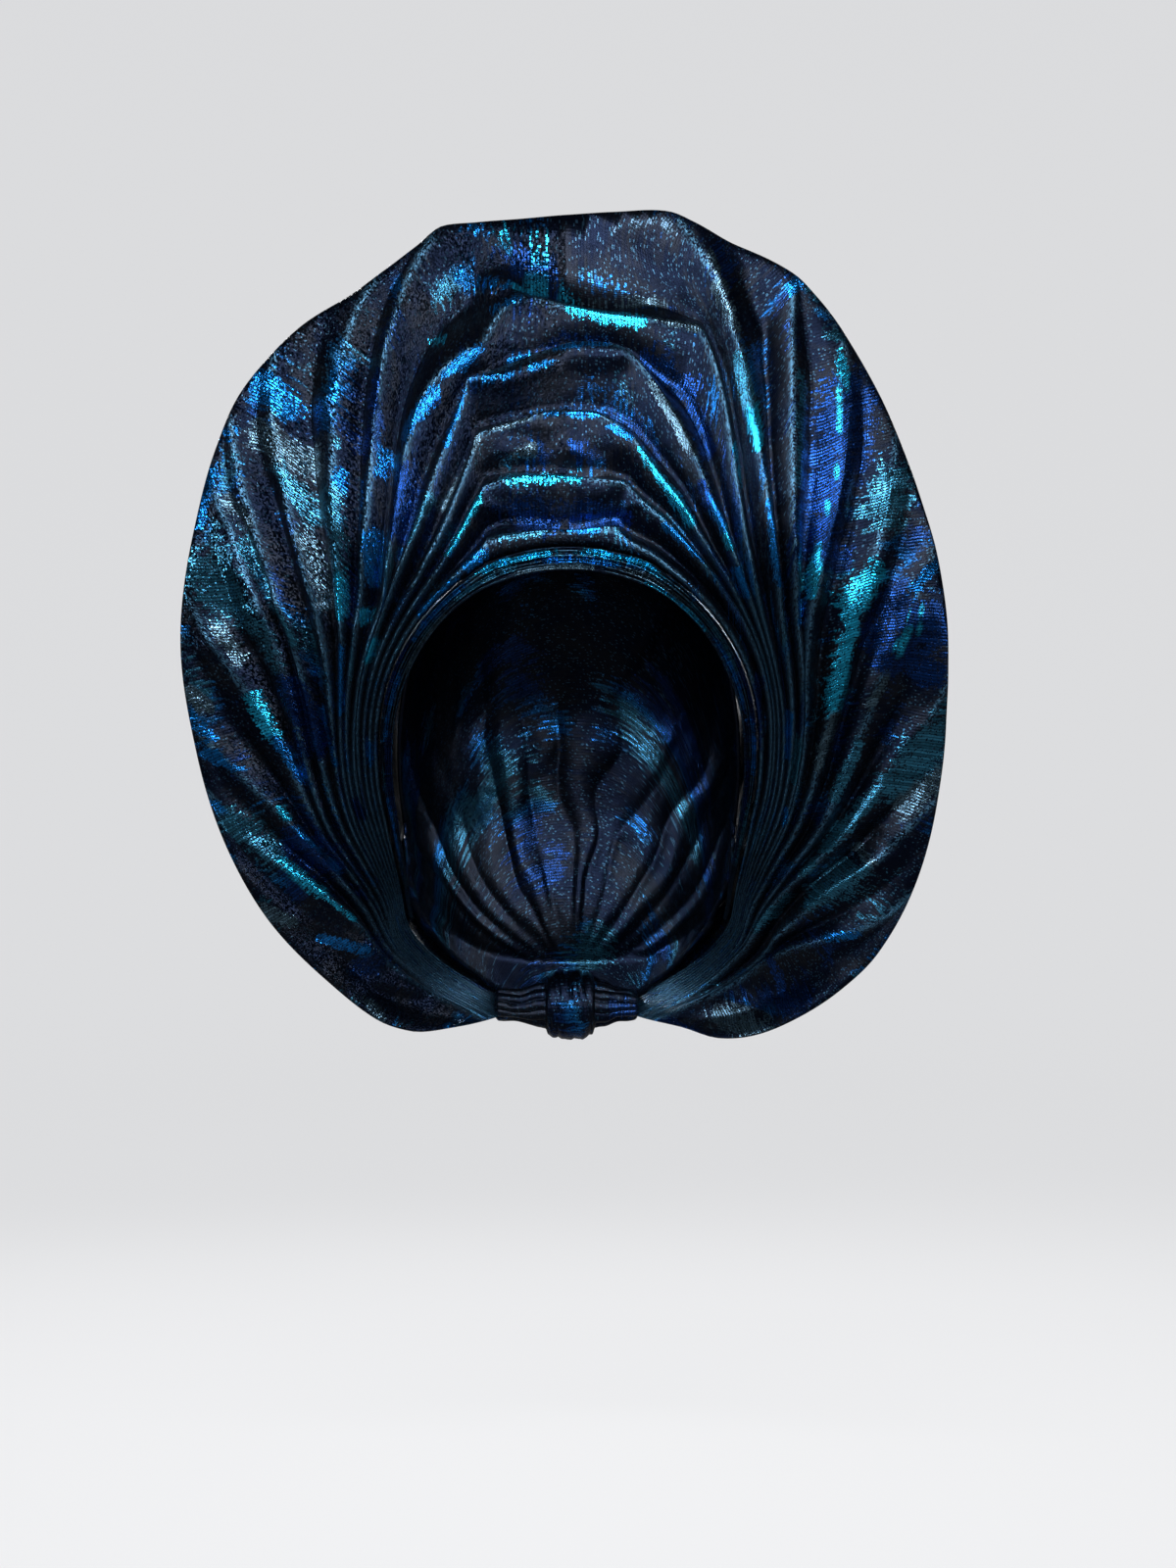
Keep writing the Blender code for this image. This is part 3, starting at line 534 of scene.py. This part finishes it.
def brow_band(finish):
    angle = np.linspace(-BAND_END, BAND_END, 340)
    side = np.abs(angle)
    edge, root = smooth(INNER, 1, side), root_radius(angle) - GAP / UNIT
    taper = np.clip((BAND_END - side) / 44, 0, 1)
    depth = BAND_DEPTH * (0.35 + 0.65 * taper)
    at = smooth(DEPTH, 1, side) / 1000
    share = np.concatenate([np.linspace(0.0, 1.0, 61)])
    ridges = np.zeros((len(share), len(angle)))
    centres = []
    for k, (middle, jaw, height) in enumerate(FOLDS):
        wander = 0.030 * ripple(angle / 13.0 + 5 * k, 0 * angle + k * 3.7, 31 + k) * (0.4 + 0.6 * taper)
        centres.append(middle + (jaw - middle) * ease(side / 120) + wander)
    centres = np.array(centres)
    height = np.array([f[2] for f in FOLDS])[:, None] * (1 + 0.35 * np.array([ripple(angle / 9.0 + k, 0 * angle, 41 + k) for k in range(len(FOLDS))]))
    for k in range(len(FOLDS)):
        d = (share[:, None] - centres[k][None, :]) / 0.085
        # Each fold laps over the next one out: a slow rise, then a quick drop.
        shape = np.where(d < 0, 1 - np.minimum(np.abs(d), 1) ** 1.6, 1 - np.minimum(np.abs(d) * 1.7, 1) ** 1.4)
        ridges = np.maximum(ridges, shape * height[k][None, :])
    # 0 is the front of the deepest ridge, and back grows towards the head.
    back = 0.27 - ridges
    back = back + 0.30 * np.clip(1 - share / 0.05, 0, 1)[:, None] ** 2 + 0.16 * np.clip((share - 0.96) / 0.04, 0, 1)[:, None] ** 2
    back = np.clip(back, 0.0, 1.0) + 0.012 * ripple(share[:, None] * 9 + 0 * angle, angle / 2.2 + 0 * share[:, None], 47)
    back = np.maximum(back, 0.0)
    outline = [(s, back[i]) for i, s in enumerate(share)]
    for s, b in ((0.995, 0.52), (0.97, 0.68), (0.90, 0.82), (0.76, 0.97), (0.60, 1.0), (0.40, 1.0), (0.20, 1.0), (0.08, 0.93), (0.01, 0.80)):
        outline.append((s, np.full_like(angle, b)))
    rings = [place(angle, edge + (root - edge) * np.clip(s, 0, 0.985), at - 0.0012 + depth * b) for s, b in outline]
    # The cloth runs on from the back of the band to lie against the crown wrap.
    heel, inner = (place(angle, edge + (root - edge) * s, at - 0.0012 + depth * b) for s, b in ((0.30, 1.0), (0.17, 1.0)))
    seat = to_wrap(inner, 0.0005, 0.105)
    reach = np.linalg.norm(seat - inner, axis=-1)
    short = 1 - 0.55 * ease((side - 113) / 9)
    seat = inner + (seat - inner) * (short * np.minimum(1, 0.044 / np.maximum(reach, 1e-6)))[:, None]
    outer = seat + np.clip(0.06 * reach, 0.0002, 0.0009)[:, None] * (heel - inner) / np.linalg.norm(heel - inner, axis=-1)[:, None]
    # The flange bows out a little, over the wrap's edge.
    bow = 0.0012 * np.stack([np.sin(np.radians(angle)), 0 * angle, np.cos(np.radians(angle))], -1)
    wave = np.zeros_like(inner)
    wave[:, 0] = 0.0004 * ripple(angle / 2.6, 0 * angle + 5, 97)
    flange = [heel + (outer - heel) * t + (wave + bow) * min(4 * t * (1 - t), 1) for t in (0.35, 0.7, 1.0)]
    flange += [inner + (seat - inner) * t + (wave + bow) * min(4 * t * (1 - t), 1) for t in (1.0, 0.7, 0.35)]
    where = len(rings) - 2
    rings[where:where] = flange
    outline[where:where] = [(0.05, None)] * len(flange)
    rings = np.array(rings).transpose(1, 0, 2)
    points, faces = tube_of(rings)
    along = np.concatenate([[0], np.cumsum(np.linalg.norm(np.diff(rings[:, 30], axis=0), axis=-1))]) * 1000
    wide = np.array([s for s, _ in outline]) * 26
    weave = np.stack(np.broadcast_arrays(along[:, None], wide[None, :], 2.0), -1).reshape(-1, 3)
    weave = np.concatenate([weave, [[along[0], 0, 2], [along[-1], 0, 2]]])
    tint = np.zeros((rings.shape[0], rings.shape[1], 4))
    share = np.array([s for s, _ in outline])[None, :]
    for colour, start, end, low, high in BAND_MARKS:
        middle = (low + high) / 2 + 0.03 * ripple(angle / 7 + low * 9, 0 * angle, 83)[:, None]
        beyond = np.maximum(np.maximum(start - angle, angle - end)[:, None] / 5, 0)
        d = np.hypot(beyond, np.maximum(np.abs(share - middle) - (high - low) / 2, 0) / 0.04)
        field = np.clip(0.85 - 0.45 * d, 0, 1)
        more = field > tint[..., 3]
        tint[..., :3] = np.where(more[..., None], COLOURS[colour], tint[..., :3])
        tint[..., 3] = np.maximum(tint[..., 3], field)
    tint[:, 61:] = 0
    tint = np.concatenate([tint.reshape(-1, 4), np.zeros((2, 4))])
    # Painted glint: the tops of the band's folds get the crest mask, for brighter thread colour painted where they
    # catch the light.
    crest_glint = np.zeros(rings.shape[:2])
    crest_glint[:, :61] = np.clip((ridges - 0.14) / 0.10, 0, 1).T
    crest_glint = np.concatenate([crest_glint.ravel(), [0, 0]])
    fields = {"weave": ("FLOAT_VECTOR", weave), "foil": ("FLOAT_COLOR", tint), "crest_glint": ("FLOAT", crest_glint)}
    return make("brow_band", points, faces, fields, finish)


# ---------------------------------------------------------------- the crown wrap
HINGE = (0.029, -0.033)
ARCHES = (
    # name, tilt, foot_tilt, reach, half
    ("brow", 42.5, 28, 147.5, 66.5), ("fore", 64, 52, 135.5, 71), ("crown", 85, 78, 126.6, 75),
    ("back", 112, 112, 115, 76), ("occiput", 145, 146, 92, 74.5), ("upper_nape", 184, 184, 66, 69),
    ("nape", 229, 248, 76, 62),
)
ARCH_FOOT, FOOT_HALF, ARCH_POWER = 0.004, 66.0, 2.6
WRAP_WALL = 0.0013


def arch_point(w, b):
    """The wrap's inner surface: w runs from the brow arch (0) to the nape (1), b from its left foot (-1) to its right."""
    rows = [(i / (len(ARCHES) - 1), *a[1:]) for i, a in enumerate(ARCHES)]
    tilt, foot, reach, half = (smooth(rows, c, w) for c in (1, 2, 3, 4))
    turn = np.asarray(b) * math.pi / 2
    q = np.maximum(np.cos(turn), 0) ** (2 / ARCH_POWER)
    grow = 1 - (1 - q) ** 2.2
    x = (FOOT_HALF + (half - FOOT_HALF) * grow) / 1000 * np.sign(b) * np.abs(np.sin(turn)) ** (2 / ARCH_POWER)
    r = ARCH_FOOT + (reach / 1000 - ARCH_FOOT) * q
    a = np.radians(foot + (tilt - foot) * grow)
    return np.stack([x, HINGE[0] - r * np.cos(a), HINGE[1] + r * np.sin(a)], axis=-1) - np.array(CROWN_SEAT)


def wrap_outward(w, b):
    """Unit normals of the wrap's form, pointing away from the head."""
    e = 0.004
    dw = arch_point(np.minimum(w + e, 1), b) - arch_point(np.maximum(w - e, 0), b)
    db = arch_point(w, np.minimum(b + e, 1)) - arch_point(w, np.maximum(b - e, -1))
    n = np.cross(dw, db)
    n /= np.maximum(np.linalg.norm(n, axis=-1), 1e-12)[..., None]
    middle = np.array([0, 0.010, -0.03]) - np.array(CROWN_SEAT)
    return n * np.where(((arch_point(w, b) - middle) * n).sum(-1) < 0, -1, 1)[..., None]


def wrap_folds(w, b, layered=1.0):
    """Folds of the wrap, in metres outwards: gathers that fan out from the knot, and the edge of the outer layer lying across."""
    point = arch_point(w, b) + np.array(CROWN_SEAT)
    heart = np.array([0.0, 0.022, -0.022])
    knot = np.array(KNOT_AT) + np.array([0, -0.004, 0.010]) - heart
    knot /= np.linalg.norm(knot)
    ray = point - heart
    ray /= np.linalg.norm(ray, axis=-1)[..., None]
    apart = np.arccos(np.clip(ray @ knot, -1, 1))
    side = np.array([1.0, 0, 0])
    up = np.cross(side, knot)
    round_ = np.arctan2(ray @ side, ray @ up)
    count = 27
    turn = round_ * count / (2 * math.pi) + 0.55 * ripple(round_ * 2.2 + 9, apart * 1.6, 53) + 0.25 * ripple(round_ * 5, apart * 4 + 3, 59)
    pleat = np.abs(np.sin(turn * math.pi)) ** 0.85
    which = np.floor(turn)
    end = 1.25 + 0.75 * np.sin(which * 2.4 + 1.0) ** 2 + 0.25 * np.sin(which * 5.1)
    size = 0.0042 * np.clip(apart / 0.42, 0, 1) * ease((end + 0.25 - apart) / 1.0)
    size = size * (0.65 + 0.35 * np.sin(which * 3.7 + 2))
    # Shared valleys keep one pleat's size from jumping to the next one's.
    gathers = size * pleat
    # Swathes that lie across the head one over the other, each thickest at its free edge.
    swathe = (0.74 * w + 0.40 * b + 0.10 * b**2 + 0.018 * ripple(w * 4, b * 3, 61)) / 0.135
    share = swathe - np.floor(swathe)
    rise = np.where(share < 0.86, (share / 0.86) ** 1.7, ease((1 - share) / 0.14))
    high = 0.70 + 0.30 * np.sin(np.floor(swathe) * 2.3 + 0.7) ** 2
    near_knot = ease((apart - 0.55) / 0.6)
    layer = 0.0040 * rise * high * near_knot * ease((w - 0.03) / 0.10)
    crumple = 0.00045 * ripple(w * 13, b * 11, 67) + 0.0002 * ripple(w * 34, b * 30, 71)
    return gathers + layered * layer + crumple + 0.0006


def wrap_lift(w, b, layered=1.0):
    """The folds as they are built, calm near the wrap's edges."""
    calm = ease((w + 0.02) / 0.07) * ease((1 - np.abs(b)) / 0.10 + 0.1)
    return wrap_folds(w, b, layered) * calm * (0.25 + 0.75 * ease(w / 0.16))


def crown_wrap(finish):
    w = np.linspace(0.04, 1, 160)
    b = np.linspace(-1, 1, 281)
    b = np.sign(b) * (0.75 * np.abs(b) + 0.25 * np.abs(b) ** 2)
    W, B = np.meshgrid(w, b, indexing="ij")
    base = arch_point(W, B)
    n = wrap_outward(W, B)
    near = base + n * (0.55 * wrap_lift(W, B, 0.25))[..., None]
    far = base + n * (WRAP_WALL + wrap_lift(W, B))[..., None]
    # At the nape the cloth runs on down into the knot.
    reach = (0.0065 + 0.0108 * ease((np.abs(b) - 0.045) / 0.135)) * ease(1.15 - np.abs(b) / 0.86)
    down = np.stack([-0.35 * base[-1, :, 0] / 0.06, np.full(len(b), 0.10), -np.ones(len(b))], -1)
    down /= np.linalg.norm(down, axis=-1)[:, None]
    near, far = (
        np.concatenate([face, [face[-1] + down * (reach * t)[:, None] for t in (0.15, 0.35, 0.6, 0.85, 1.0)]])
        for face in (near, far)
    )
    base = np.concatenate([base, [base[-1] + down * (reach * t)[:, None] for t in (0.15, 0.35, 0.6, 0.85, 1.0)]])
    points, faces = solid_of(near, far)
    along = np.concatenate([np.zeros((1, len(b))), np.cumsum(np.linalg.norm(np.diff(base, axis=0), axis=-1), axis=0)])
    wide = np.concatenate([np.zeros((len(base), 1)), np.cumsum(np.linalg.norm(np.diff(base, axis=1), axis=-1), axis=1)], axis=1)
    weave = np.stack([along * 1000, wide * 1000 * 0.8, 0 * wide + 3], -1).reshape(-1, 3)
    fields = {
        "weave": ("FLOAT_VECTOR", np.concatenate([weave, weave + np.array([0, 0, 1.0])])),
        "foil": ("FLOAT_COLOR", np.zeros((len(points), 4))),
    }
    return make("head_wrap", points, faces, fields, finish)


# ---------------------------------------------------------------- the nape knot
KNOT_AT = (-0.0009, 0.0795, -0.1085)
KNOT = (
    # along, depth, height: half sizes in millimetres at each section
    (-24, 5, 5), (-21.5, 7, 7), (-15, 8.5, 9.5), (-10.5, 8.5, 10.5), (-9.5, 11, 13), (-5, 12.6, 15), (0, 13, 15.4),
    (5, 12.6, 15), (9.5, 11, 13), (10.5, 8.5, 10.5), (15, 8.5, 9.5), (21.5, 7, 7), (24, 5, 5),
)


def nape_knot(finish):
    along = np.linspace(-31.9, 28.8, 300)
    turn = np.linspace(0, 2 * math.pi, 200, endpoint=False)
    A, T = np.meshgrid(along, turn, indexing="ij")
    shape = (
        (-31.9, 7.4, 5.2), (-30.2, 9.5, 7.2), (-26.5, 9.4, 7.3), (-22, 8.4, 7.4), *KNOT[2:-2],
        (20.5, 8.4, 7.4), (25, 9.4, 7.0), (27.7, 9.2, 6.4), (28.8, 7.0, 4.4),
    )
    deep, high = smooth(shape, 1, A), smooth(shape, 2, A)
    tie = ease((10.6 - np.abs(A + 0.8 * np.sin(T))) / 1.2)
    # The tie round the middle: three turns of cloth, slanting a little, the last one lapping over.
    slope = A + 1.8 * np.sin(T + 0.6) + 0.5 * ripple(T * 1.3, A * 0.2, 73)
    turns = 0.9 * np.abs(np.sin(slope * math.pi / 6.6)) ** 0.7 + 0.35 * ripple(T * 2.2 + 3, slope * 0.8, 79)
    # The gathered ends: pleats along them.
    pleats = 1.0 * np.abs(np.sin(T * 5.5 + 0.35 * np.sin(A * 0.35) + 0.8 * ripple(T * 1.2, A * 0.10, 83))) ** 0.8
    flare = 0.3 * ripple(T * 3, A * 0.25 + 9, 89)
    grow = tie * (turns - 1.15) + (1 - tie) * (pleats + flare - 1.0)
    y = KNOT_AT[1] + (deep + grow) / 1000 * np.cos(T)
    z = KNOT_AT[2] + (high + grow) / 1000 * np.sin(T)
    rings = np.stack([A / 1000, y, z], -1) - np.array(CROWN_SEAT)
    points, faces = tube_of(rings)
    round_ = T * 12.0
    weave = np.stack([np.where(tie > 0.5, round_, A), np.where(tie > 0.5, A, round_), 0 * A + 5], -1).reshape(-1, 3)
    weave = np.concatenate([weave, [[-24, 0, 5], [24, 0, 5]]])
    points[-2:, 0] += (0.004, -0.004)
    fields = {"weave": ("FLOAT_VECTOR", weave), "foil": ("FLOAT_COLOR", np.zeros((len(points), 4)))}
    return make("knot_folds", points, faces, fields, finish)


# ---------------------------------------------------------------- the brocade
class Nodes:
    """Short hand for building a material."""

    def __init__(self, name):
        self.material = bpy.data.materials.new(name)
        self.material.use_nodes = True
        self.tree = self.material.node_tree
        self.shader = self.tree.nodes["Principled BSDF"]

    def add(self, kind, out=0, inputs=None, **settings):
        node = self.tree.nodes.new(kind)
        for key, value in settings.items():
            setattr(node, key, value)
        for key, value in (inputs or {}).items():
            if isinstance(value, bpy.types.NodeSocket):
                self.tree.links.new(value, node.inputs[key])
            else:
                node.inputs[key].default_value = value
        return node.outputs[out]

    def math(self, operation, a, b=0.0, c=0.0, clamp=False):
        return self.add("ShaderNodeMath", inputs={0: a, 1: b, 2: c}, operation=operation, use_clamp=clamp)

    def band(self, value, low, high):
        """0 below low, 1 above high, smooth between."""
        return self.add("ShaderNodeMapRange", inputs={0: value, 1: low, 2: high, 3: 0.0, 4: 1.0}, interpolation_type="SMOOTHSTEP")

    def blend(self, share, a, b, kind="MIX"):
        node = self.tree.nodes.new("ShaderNodeMix")
        node.data_type, node.blend_type = "RGBA", kind
        for at, value in ((0, share), (6, a), (7, b)):
            if isinstance(value, bpy.types.NodeSocket):
                self.tree.links.new(value, node.inputs[at])
            else:
                node.inputs[at].default_value = value
        return node.outputs[2]


PITCH = 1.25   # millimetres from one metallic weft to the next


def brocade():
    n = Nodes("brocade")
    weave = n.add("ShaderNodeAttribute", 1, attribute_name="weave")
    foil_node = n.tree.nodes.new("ShaderNodeAttribute")
    foil_node.attribute_name = "foil"
    mark, mark_field = foil_node.outputs["Color"], foil_node.outputs["Alpha"]
    split = n.tree.nodes.new("ShaderNodeSeparateXYZ")
    n.tree.links.new(weave, split.inputs[0])
    along, wide, layer = split.outputs

    # Each weft runs across the cloth, at its own place along it, and starts and stops a little off its neighbours.
    line = n.math("FLOOR", n.math("DIVIDE", along, PITCH))
    chance = n.add("ShaderNodeTexWhiteNoise", 0, {"W": n.math("MULTIPLY_ADD", layer, 91.7, line)}, noise_dimensions="1D")
    chance_2 = n.add("ShaderNodeTexWhiteNoise", 0, {"W": n.math("MULTIPLY_ADD", layer, 37.1, n.math("ADD", line, 500.5))}, noise_dimensions="1D")
    jitter = n.math("MULTIPLY", n.math("SUBTRACT", chance, 0.5), 7.0)
    place_3 = n.add("ShaderNodeCombineXYZ", inputs={0: n.math("MULTIPLY", line, PITCH * 0.62), 1: n.math("ADD", wide, jitter), 2: n.math("MULTIPLY", layer, 41.0)})
    half_line = n.math("FLOOR", n.math("DIVIDE", along, PITCH / 2))
    cell = n.math("FLOOR", n.math("ADD", n.math("DIVIDE", wide, 0.55), n.math("MULTIPLY", chance, 7.0)))
    spot_at = n.add("ShaderNodeCombineXYZ", inputs={0: half_line, 1: cell, 2: layer})
    spot = n.add("ShaderNodeTexWhiteNoise", 0, {"Vector": spot_at}, noise_dimensions="3D")

    def noise(scale, detail, offset, at=place_3):
        moved = n.add("ShaderNodeVectorMath", inputs={0: at, 1: (offset, offset * 0.7, 0)}, operation="ADD")
        return n.add("ShaderNodeTexNoise", 0, {"Vector": moved, "Scale": scale, "Detail": detail, "Roughness": 0.55}, noise_dimensions="3D")

    fine = noise(0.16, 2.0, 13.0)
    patch = noise(0.052, 1.5, 57.0)
    hue = noise(0.030, 1.0, 131.0)
    dash = n.math("MULTIPLY_ADD", n.math("SUBTRACT", spot, 0.5), 0.34, n.math("MULTIPLY", n.math("SUBTRACT", chance, 0.5), 0.30))
    edge = n.math("MULTIPLY_ADD", n.math("SUBTRACT", fine, 0.5), 0.95, dash)
    marked = n.band(n.math("ADD", mark_field, edge), 0.46, 0.60)
    scattered = n.math("MULTIPLY", n.band(n.math("ADD", patch, n.math("MULTIPLY", edge, 0.25)), 0.57, 0.625), 0.60)
    # Here and there a dash of the metallic thread dives under the ground.
    metal = n.math("MULTIPLY", n.math("MAXIMUM", marked, scattered), n.band(spot, 0.06, 0.20))

    ramp = n.tree.nodes.new("ShaderNodeValToRGB")
    n.tree.links.new(hue, ramp.inputs[0])
    ramp.color_ramp.elements[0].position, ramp.color_ramp.elements[0].color = 0.40, (*COLOURS["teal"], 1)
    ramp.color_ramp.elements[1].position, ramp.color_ramp.elements[1].color = 0.60, (*COLOURS["cobalt"], 1)
    for position, colour in ((0.46, "azure"), (0.53, "cobalt")):
        step = ramp.color_ramp.elements.new(position)
        step.color = (*COLOURS[colour], 1)
    colour = n.blend(n.band(mark_field, 0.18, 0.30), ramp.outputs[0], mark)

    # A weft is a round thread between darker gaps, and some are brighter than others.
    ripple_ = n.math("ABSOLUTE", n.math("SINE", n.math("MULTIPLY", along, math.pi / PITCH)))
    thread = n.math("POWER", ripple_, 0.8)
    shine = n.math("MULTIPLY", n.math("MULTIPLY_ADD", thread, 0.84, 0.16), n.math("MULTIPLY_ADD", chance_2, 0.75, 0.50))
    shine = n.math("MULTIPLY", shine, n.math("MULTIPLY_ADD", spot, 0.55, 0.70))
    colour = n.blend(1.0, colour, n.add("ShaderNodeCombineColor", inputs={0: shine, 1: shine, 2: shine}), "MULTIPLY")

    # The ground is dark satin with a scatter of small bright stitches. Along the crests of the folds there is also a
    # painted glint: the same pale blue thread colour, denser, where the crests catch the light.
    stitches_and_crest_glint = n.math("MULTIPLY", n.band(spot, 0.90, 0.94), n.band(thread, 0.30, 0.70))
    crest_glint = n.add("ShaderNodeAttribute", 2, attribute_name="crest_glint")
    # Painted glint: the crest mask adds the pale blue thread colour along the crests, on top of the scattered stitches.
    stitches_and_crest_glint = n.math("MAXIMUM", n.math("MULTIPLY", stitches_and_crest_glint, 0.42), n.math("MULTIPLY", crest_glint, n.band(spot, 0.36, 0.54)))
    shade = noise(0.07, 3.0, 211.0)
    ground = n.blend(n.band(shade, 0.42, 0.64), (0.0012, 0.0033, 0.0108, 1), (0.0056, 0.0073, 0.0120, 1))
    ground = n.blend(n.math("MULTIPLY", stitches_and_crest_glint, 0.60), ground, (0.065, 0.180, 0.300, 1))
    base = n.blend(metal, ground, colour)

    rough = n.math("MULTIPLY_ADD", n.math("SUBTRACT", 1.0, metal), 0.17, 0.17)
    rough = n.math("MULTIPLY_ADD", n.math("SUBTRACT", shade, 0.5), 0.10, rough)

    warp = n.math("SINE", n.math("MULTIPLY", wide, math.pi / 0.31))
    height = n.math("MULTIPLY_ADD", warp, 0.12, n.math("MULTIPLY_ADD", ripple_, 0.55, n.math("MULTIPLY", spot, 0.45)))
    real = n.add("ShaderNodeNewGeometry", 0)
    wrinkle = n.add("ShaderNodeTexNoise", 0, {"Vector": real, "Scale": 120.0, "Detail": 4.0, "Roughness": 0.6, "Distortion": 0.4}, noise_dimensions="3D")
    soft = n.add("ShaderNodeBump", inputs={"Strength": 0.32, "Distance": 0.0012, "Height": wrinkle})
    weave_bump = n.add("ShaderNodeBump", inputs={"Strength": 0.40, "Distance": 0.00018, "Height": height, "Normal": soft})

    links, shader = n.tree.links, n.shader
    links.new(base, shader.inputs["Base Color"])
    links.new(rough, shader.inputs["Roughness"])
    links.new(weave_bump, shader.inputs["Normal"])
    shader.inputs["Metallic"].default_value = 0.93
    shader.inputs["Specular IOR Level"].default_value = 0.4
    return n.material


# ---------------------------------------------------------------- stage
def studio():
    def paper(name):
        """Pale to the eye, and dark to the cloth, so that the backdrop doesn't light the cloth from every side."""
        made = bpy.data.materials.new(name)
        made.use_nodes = True
        tree = made.node_tree
        tree.nodes.remove(tree.nodes["Principled BSDF"])
        seen = tree.nodes.new("ShaderNodeAddShader")
        glow, lit, unseen = (tree.nodes.new("ShaderNode" + k) for k in ("Emission", "BsdfDiffuse", "BsdfDiffuse"))
        glow.inputs["Color"].default_value = (0.70, 0.705, 0.72, 1)
        lit.inputs["Color"].default_value = (0.07, 0.07, 0.07, 1)
        unseen.inputs["Color"].default_value = (0.10, 0.10, 0.10, 1)
        ray, mix = tree.nodes.new("ShaderNodeLightPath"), tree.nodes.new("ShaderNodeMixShader")
        tree.links.new(glow.outputs[0], seen.inputs[0])
        tree.links.new(lit.outputs[0], seen.inputs[1])
        tree.links.new(ray.outputs["Is Camera Ray"], mix.inputs[0])
        tree.links.new(unseen.outputs[0], mix.inputs[1])
        tree.links.new(seen.outputs[0], mix.inputs[2])
        tree.links.new(mix.outputs[0], tree.nodes["Material Output"].inputs["Surface"])
        return made

    # A pale floor that sweeps up into a pale wall all round, well away from the object.
    floor_z, far_off, bend = -0.42, 2.6, 0.9
    profile = [(0.01, floor_z), (0.8, floor_z)]
    for i in range(21):
        a = math.pi / 2 * i / 20
        profile.append((far_off - bend + bend * math.sin(a), floor_z + bend - bend * math.cos(a)))
    profile.append((far_off, 2.8))
    sides = 96
    points = [
        (r * math.cos(2 * math.pi * j / sides), r * math.sin(2 * math.pi * j / sides), z)
        for r, z in profile for j in range(sides)
    ]
    faces = [
        (i * sides + j, i * sides + (j + 1) % sides, (i + 1) * sides + (j + 1) % sides, (i + 1) * sides + j)
        for i in range(len(profile) - 1) for j in range(sides)
    ]
    faces.append(tuple(range(sides - 1, -1, -1)))
    mesh = bpy.data.meshes.new("floor")
    mesh.from_pydata(points, [], faces)
    mesh.shade_smooth()
    mesh.materials.append(paper("floor_paper"))
    floor = bpy.data.objects.new("floor", mesh)
    bpy.context.scene.collection.objects.link(floor)

    def lamp(name, at, aim, width, height, watts, spread=180, colour=(1, 1, 1)):
        light = bpy.data.lights.new(name, "AREA")
        light.shape, light.size, light.size_y, light.energy, light.color = "RECTANGLE", width, height, watts, colour
        light.spread = math.radians(spread)
        made = bpy.data.objects.new(name, light)
        made.location = at
        made.rotation_euler = (Vector(aim) - Vector(at)).to_track_quat("-Z", "Y").to_euler()
        bpy.context.scene.collection.objects.link(made)

    middle = (0, 0, -0.06)
    lamp("key_high", (-0.10, -1.15, 1.05), middle, 1.20, 0.14, 4.0, 70)
    lamp("key_low", (0.05, -1.55, 0.48), middle, 1.50, 0.09, 2.6, 70)
    lamp("front_light", (0.0, -1.75, 0.12), middle, 0.30, 0.20, 0.8, 60)
    lamp("front_left", (-0.80, -1.45, 0.20), middle, 0.16, 0.45, 1.35, 60, (0.94, 0.97, 1.0))
    lamp("front_right", (0.80, -1.45, 0.20), middle, 0.16, 0.45, 1.35, 60)
    lamp("left_light", (-1.30, -0.85, 0.10), middle, 0.14, 0.7, 1.0, 60, (0.93, 0.96, 1.0))
    lamp("right_light", (1.30, -0.85, 0.10), middle, 0.14, 0.7, 1.0, 60)
    lamp("back_left", (-0.9, 1.5, 0.8), middle, 0.6, 0.2, 7.5, 60)
    lamp("back_right", (0.9, 1.6, 0.5), middle, 0.3, 0.5, 5.0, 60)
    lamp("back_top", (0.0, 1.5, 1.2), middle, 0.8, 0.15, 4.5, 60)

    world = bpy.data.worlds.new("studio")
    bpy.context.scene.world = world
    world.use_nodes = True
    world.node_tree.nodes["Background"].inputs["Color"].default_value = (0.80, 0.84, 0.90, 1)
    world.node_tree.nodes["Background"].inputs["Strength"].default_value = 0.07
    bpy.context.scene.view_settings.view_transform = "Standard"


def camera():
    made = bpy.data.objects.new("camera", bpy.data.cameras.new("camera"))
    made.data.lens, made.data.sensor_width, made.data.sensor_fit = 60, 36, "AUTO"
    made.location = Vector(EYE) - Vector(CROWN_SEAT)
    made.rotation_euler = (math.radians(90), 0, 0)
    made.data.clip_start, made.data.clip_end = 0.01, 50
    bpy.context.scene.collection.objects.link(made)
    bpy.context.scene.camera = made


# ---------------------------------------------------------------- the scene
def main():
    camera()
    studio()
    finish = brocade()
    pieces = (
        # maker, node, width of the flat cloth in metres, held, rests on
        (fan, "fan", 0.26, "folded", ["crown_wrap", "brow_pleats"]),
        (brow_band, "brow_pleats", 0.05, "folded", ["crown_wrap"]),
        (crown_wrap, "crown_wrap", 0.30, "gathered", []),
        (nape_knot, "nape_knot", 0.05, "folded", ["crown_wrap"]),
    )
    for maker, node, width, held, rests in pieces:
        piece = maker(finish)
        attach(piece, "root")
        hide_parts(node)


main()
